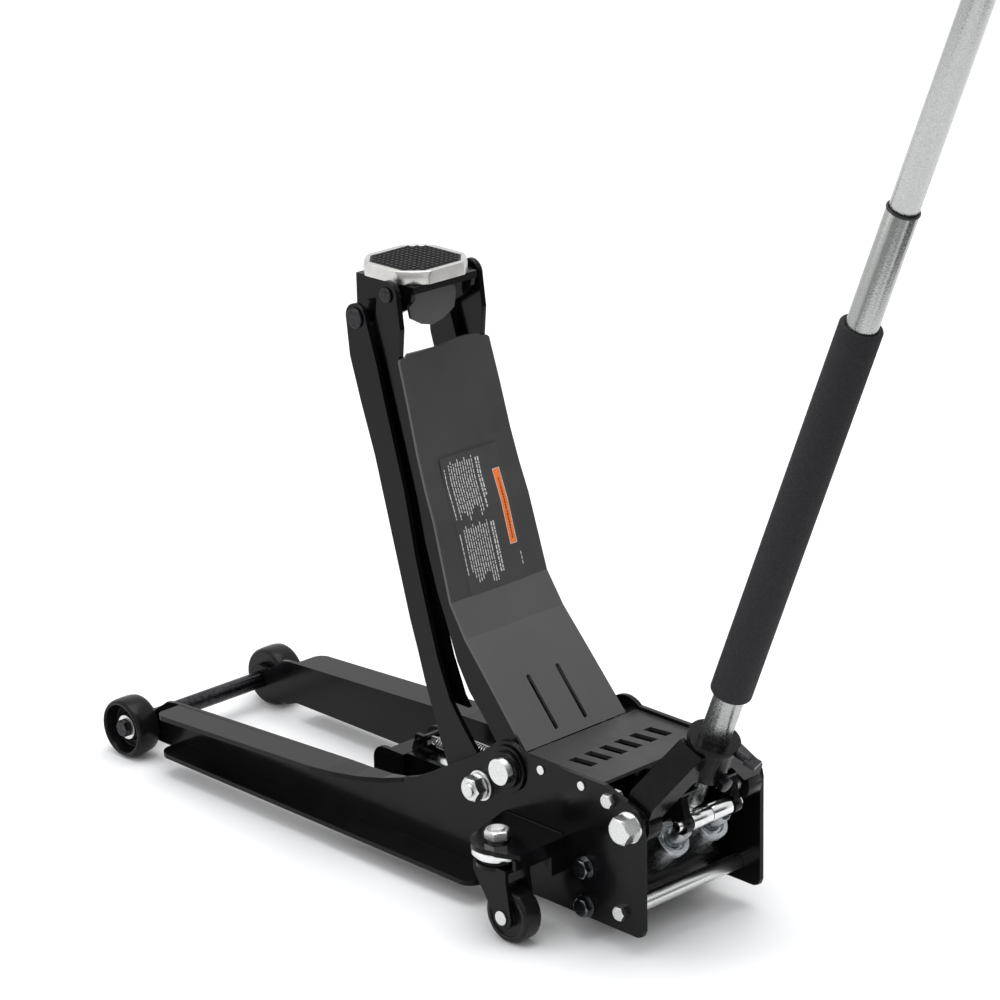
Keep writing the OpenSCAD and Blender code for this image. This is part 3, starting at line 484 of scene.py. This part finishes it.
# each ink lies a little higher than the one below it, in metres above the film
white_lift, orange_lift, dark_lift = 0.00012, 0.00018, 0.00023
stripe_ink_thickness = 0.00004
dice = random.Random(7)

# rows of small dashes in two blocks, each closed by two bolder rows
block_tops = (0.008, 0.071)
block_length, bold_length = 0.056, 0.050
ragged_end = 0.014
row_count = 15
blank_row = 1
first_bold_row = 13
first_row_y = -0.0350
row_pitch = 0.0030
bold_gap = 0.0022
half_height, half_bold = 0.00048, 0.00075
heading_indent = 0.006
third_row_outdent = 0.003
shortest_word, word_spread, bold_spread = 0.0012, 0.0065, 0.004
shortest_gap, gap_spread = 0.0007, 0.0005
last_word_overrun = 0.001

print_rows = bmesh.new()
for block_top in block_tops:
    for row in range(row_count):
        if row == blank_row:
            continue
        bold = row >= first_bold_row
        across = first_row_y + row * row_pitch + (bold_gap if bold else 0)
        half = half_bold if bold else half_height
        down = block_top
        if row % 3 == 0:
            down -= third_row_outdent
        if row == 0:
            down += heading_indent
        row_end = block_top + (bold_length if bold else block_length) - dice.random() * ragged_end
        while down < row_end:
            word = shortest_word + dice.random() * (bold_spread if bold else word_spread)
            word_end = min(down + word, row_end + last_word_overrun)
            print_bar(print_rows, across - half, across + half, down, word_end, white_lift)
            down += word + shortest_gap + dice.random() * gap_spread
# three short marks beside the lower block
mark_near, mark_far = 0.0345, 0.0354
mark_length = 0.0035
for down in (0.108, 0.1125, 0.117):
    print_bar(print_rows, mark_near, mark_far, down, down + mark_length, white_lift)
finish_print("label_print_rows", print_rows, 0.00005, white_ink)

# the orange stripe, the white border under it, and the dark dashes along its middle
stripe_near, stripe_far = 0.0249, 0.0327
stripe_top, stripe_bottom = 0.0251, 0.0979
border_width = 0.0006
stripe_border = bmesh.new()
print_bar(
    stripe_border,
    stripe_near - border_width, stripe_far + border_width,
    stripe_top - border_width, stripe_bottom + border_width,
    white_lift,
)
finish_print("label_stripe_border", stripe_border, stripe_ink_thickness, white_ink)
stripe = bmesh.new()
print_bar(stripe, stripe_near, stripe_far, stripe_top, stripe_bottom, orange_lift)
finish_print("label_orange_stripe", stripe, stripe_ink_thickness, orange_ink)
dash_near, dash_far = 0.0280, 0.0298
dashes_top, dashes_bottom = 0.0345, 0.093
shortest_dash, dash_spread, dash_gap = 0.0010, 0.0016, 0.0008
stripe_dashes = bmesh.new()
down = dashes_top
while down < dashes_bottom:
    dash = shortest_dash + dice.random() * dash_spread
    print_bar(stripe_dashes, dash_near, dash_far, down, down + dash, dark_lift)
    down += dash + dash_gap
finish_print("label_stripe_dashes", stripe_dashes, stripe_ink_thickness, dark_ink)

# ---- links ----
# A folded channel on each side keeps the saddle level as the arm rises. Painted black and
# pinned to the saddle bracket at the top.
finish_nodes(black_paint, 0.0007, "link_channel_near", "link_channel_far")
finish_nodes(dark_oxide, 0.0008, "link_top_pins")

# ---- saddle ----
# Painted bracket, bright cast ring with a machined rim, and a black rubber pad with rows of
# raised square studs that grips the car's lifting point.
finish_nodes(black_paint, 0.0008, "saddle_bracket")
finish_nodes(cover_grey, 0.0008, "saddle_web")
cast_bright, tree, shader = new_finish("bright_casting", (0.66, 0.65, 0.63), 0.30, metallic=1.0)
place = place_pattern(tree)
brushed = place_pattern(tree, (1, 1, 30))
vary_colour(tree, shader, cloud(tree, place, 60, 4), (0.58, 0.57, 0.55), (0.68, 0.67, 0.65))
vary_roughness(tree, shader, cloud(tree, brushed, 60, 4), 0.26, 0.44)
raise_grain(tree, shader, cloud(tree, place, 900, 4), 0.25, 0.0003)
finish_nodes(cast_bright, 0.0012, "saddle_ring", segments=3, sharper_than=20)

rubber, tree, shader = new_finish("pad_rubber", (0.012, 0.012, 0.012), 0.62, specular=0.3)
place = place_pattern(tree)
vary_colour(tree, shader, cloud(tree, place, 200, 4), (0.010, 0.010, 0.010), (0.020, 0.020, 0.021))
vary_roughness(tree, shader, cloud(tree, place, 700, 3), 0.52, 0.75)
raise_grain(tree, shader, cloud(tree, place, 1600, 4), 0.2, 0.0002)

pad_low, pad_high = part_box("saddle_pad")
pad_centre = (pad_low + pad_high) / 2
pad_half = (pad_high.x - pad_low.x) / 2
# half the length of each straight side; the four corners between them are cut off
side_half = pad_half * 0.598
stud_count = 12
stud_pitch = (2 * pad_half - 0.004) / stud_count
stud_width = stud_pitch * 0.70
stud_taper = 0.8
groove_floor = pad_high.z - 0.0013
# how far the foot of a stud sinks into the pad
stud_sink = 0.0002
stud_height = pad_high.z - groove_floor + stud_sink
stud_z = (groove_floor + pad_high.z - stud_sink) / 2
bare_edge = 0.0055

pad_shape = bmesh.new()
outline = []
for sign_x, sign_y in ((1, 1), (-1, 1), (-1, -1), (1, -1)):
    ends = [(sign_x * pad_half, sign_y * side_half), (sign_x * side_half, sign_y * pad_half)]
    outline += ends if sign_x == sign_y else ends[::-1]
base_ring = [
    pad_shape.verts.new((pad_centre.x + x, pad_centre.y + y, pad_low.z)) for x, y in outline
]
base_face = pad_shape.faces.new(base_ring)
risen = bmesh.ops.extrude_face_region(pad_shape, geom=[base_face], use_keep_orig=True)
bmesh.ops.translate(pad_shape, verts=new_verts(risen), vec=(0, 0, groove_floor - pad_low.z))
for i in range(stud_count):
    for j in range(stud_count):
        x = (i - (stud_count - 1) / 2) * stud_pitch
        y = (j - (stud_count - 1) / 2) * stud_pitch
        if abs(x) + abs(y) > pad_half + side_half - bare_edge:
            continue
        stud_x = pad_centre.x + x
        stud_y = pad_centre.y + y
        size = Matrix.Diagonal((stud_width, stud_width, stud_height, 1))
        stud = bmesh.ops.create_cube(
            pad_shape, size=1.0, matrix=Matrix.Translation((stud_x, stud_y, stud_z)) @ size
        )
        bmesh.ops.scale(
            pad_shape,
            vec=(stud_taper, stud_taper, 1),
            verts=[v for v in stud["verts"] if v.co.z > stud_z],
            space=Matrix.Translation((-stud_x, -stud_y, 0)),
        )
pad_piece = finish_piece(
    "saddle_pad_studded", pad_shape, rubber, "saddle", smooth=False
)
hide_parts("saddle_pad")

# ---- handle socket ----
# A forged and welded socket that rocks on two side bolts. Its ears hold the rollers that
# press the pump plungers, and a clamp screw locks the handle.
finish_nodes(cast_black, 0.0010, "handle_socket")
finish_nodes(polished, 0.0007, "pump_rollers")
finish_nodes(dark_oxide, 0.0006, "clamp_screw")

# ---- handle tubes ----
# Two telescoped steel tubes in hammered silver paint, with a thin dark ring where they
# meet and a moulded cap at the far end.
hammered, tree, shader = new_finish("hammered_silver", (0.46, 0.47, 0.46), 0.24, metallic=1.0)
place = place_pattern(tree)
vary_colour(tree, shader, cloud(tree, place, 900, 5), (0.37, 0.38, 0.37), (0.52, 0.53, 0.52))
vary_roughness(tree, shader, cloud(tree, place, 500, 3), 0.20, 0.30)
raise_grain(tree, shader, cells(tree, place, 520), 0.16, 0.0004)
finish_nodes(hammered, 0.0005, "lower_tube", "upper_tube")
cap_plastic = powder_paint(
    "cap_plastic", (0.010, 0.010, 0.010), (0.018, 0.018, 0.018), 0.32, 0.46, 0.4
)
finish_nodes(cap_plastic, 0.0007, "joint_ring", "end_cap")

# ---- grip ----
# A sleeve of black foam rubber pushed over the lower tube, with softly rounded ends and a
# fine open skin.
foam, tree, shader = new_finish("grip_foam", (0.02, 0.02, 0.021), 0.85, specular=0.25)
place = place_pattern(tree)
vary_colour(tree, shader, cloud(tree, place, 700, 4), (0.017, 0.017, 0.019), (0.023, 0.023, 0.025))
vary_roughness(tree, shader, cloud(tree, place, 400, 3), 0.72, 0.92)
raise_grain(tree, shader, cells(tree, place, 1400), 0.35, 0.0004)
finish_nodes(foam, 0.0022, "grip", segments=5)

# ---- floor, light and camera ----
# A plain pale floor that runs far back on the side the camera faces, grey studio walls with
# one bright and one dark band that the polished parts mirror, and two soft panels.
floor_finish, tree, shader = new_finish("pale_floor", (0.86, 0.86, 0.86), 0.8, specular=0.1)
vary_colour(
    tree, shader, cloud(tree, place_pattern(tree), 3, 3),
    (0.855, 0.855, 0.855), (0.865, 0.865, 0.865),
)
floor_half = 15
floor_middle = (-13.2, 13.3, -0.0005)
floor_shape = bmesh.new()
bmesh.ops.create_grid(floor_shape, x_segments=2, y_segments=2, size=floor_half)
bmesh.ops.translate(floor_shape, verts=floor_shape.verts, vec=floor_middle)
floor_mesh = bpy.data.meshes.new("studio_floor")
floor_shape.to_mesh(floor_mesh)
floor_shape.free()
floor_mesh.materials.append(floor_finish)
floor = bpy.data.objects.new("studio_floor", floor_mesh)
scene.collection.objects.link(floor)

world = bpy.data.worlds.new("studio")
scene.world = world
world.use_nodes = True
world_tree = world.node_tree
directions = world_tree.nodes.new("ShaderNodeTexCoord")
around = world_tree.nodes.new("ShaderNodeTexGradient")
around.gradient_type = "RADIAL"
world_tree.links.new(directions.outputs["Generated"], around.inputs["Vector"])
# how far round the room, as a share of a full turn, and how bright the wall is there
wall_stops = (
    (0.00, 0.85), (0.17, 0.85),
    (0.20, 0.40), (0.42, 0.40),
    (0.44, 1.20), (0.46, 1.20),
    (0.48, 0.09), (0.63, 0.09),
    (0.66, 0.90), (1.00, 0.90),
)
walls = world_tree.nodes.new("ShaderNodeValToRGB")
for i, (at, level) in enumerate(wall_stops):
    stops = walls.color_ramp.elements
    stop = stops[i] if i < 2 else stops.new(at)
    stop.position = at
    stop.color = (level, level, level, 1)
world_tree.links.new(around.outputs["Fac"], walls.inputs["Fac"])
height = world_tree.nodes.new("ShaderNodeSeparateXYZ")
world_tree.links.new(directions.outputs["Generated"], height.inputs["Vector"])
ceiling = world_tree.nodes.new("ShaderNodeMapRange")
ceiling.inputs["From Min"].default_value = 0.25
ceiling.inputs["From Max"].default_value = 0.55
world_tree.links.new(height.outputs["Z"], ceiling.inputs["Value"])
ceiling_colour = (1.02, 1.03, 1.05, 1)
room = world_tree.nodes.new("ShaderNodeMix")
room.data_type = "RGBA"
for socket in room.inputs:
    if socket.type == "RGBA" and socket.name == "B":
        socket.default_value = ceiling_colour
    if socket.type == "RGBA" and socket.name == "A":
        world_tree.links.new(walls.outputs["Color"], socket)
world_tree.links.new(ceiling.outputs["Result"], room.inputs["Factor"])
room_colour = [socket for socket in room.outputs if socket.type == "RGBA"][0]
background = world_tree.nodes["Background"]
background.inputs["Strength"].default_value = 1.0
world_tree.links.new(room_colour, background.inputs["Color"])


def soft_panel(name, place, aim, width, height, power):
    """A large soft light panel that faces a point."""
    lamp = bpy.data.lights.new(name, "AREA")
    lamp.shape = "RECTANGLE"
    lamp.size = width
    lamp.size_y = height
    lamp.energy = power
    panel = bpy.data.objects.new(name, lamp)
    scene.collection.objects.link(panel)
    panel.location = place
    panel.rotation_euler = (Vector(aim) - Vector(place)).to_track_quat("-Z", "Y").to_euler()


jack_middle = (0.45, 0, 0.25)
soft_panel("overhead_panel", (0.6, 0.5, 5.0), jack_middle, 4.0, 4.0, 150)
soft_panel("left_panel", (-1.6, -2.6, 1.9), jack_middle, 1.6, 1.2, 18)

azimuth = math.radians(46.45)
elevation = math.radians(19.34)
roll = math.radians(-1.17)
camera_place = (2.9495, -2.3679, 1.5702)
right = Vector((math.cos(azimuth), math.sin(azimuth), 0))
back = Vector((
    math.sin(azimuth) * math.cos(elevation),
    -math.cos(azimuth) * math.cos(elevation),
    math.sin(elevation),
))
up = back.cross(right)
side_axis = right * math.cos(roll) + up * math.sin(roll)
up_axis = up * math.cos(roll) - right * math.sin(roll)
facing = Matrix((side_axis, up_axis, back)).transposed().to_4x4()
lens = bpy.data.cameras.new("studio_camera")
lens.sensor_width = 36
lens.lens = 138.54
lens.clip_end = 100
camera = bpy.data.objects.new("studio_camera", lens)
scene.collection.objects.link(camera)
camera.matrix_world = Matrix.Translation(camera_place) @ facing
scene.camera = camera
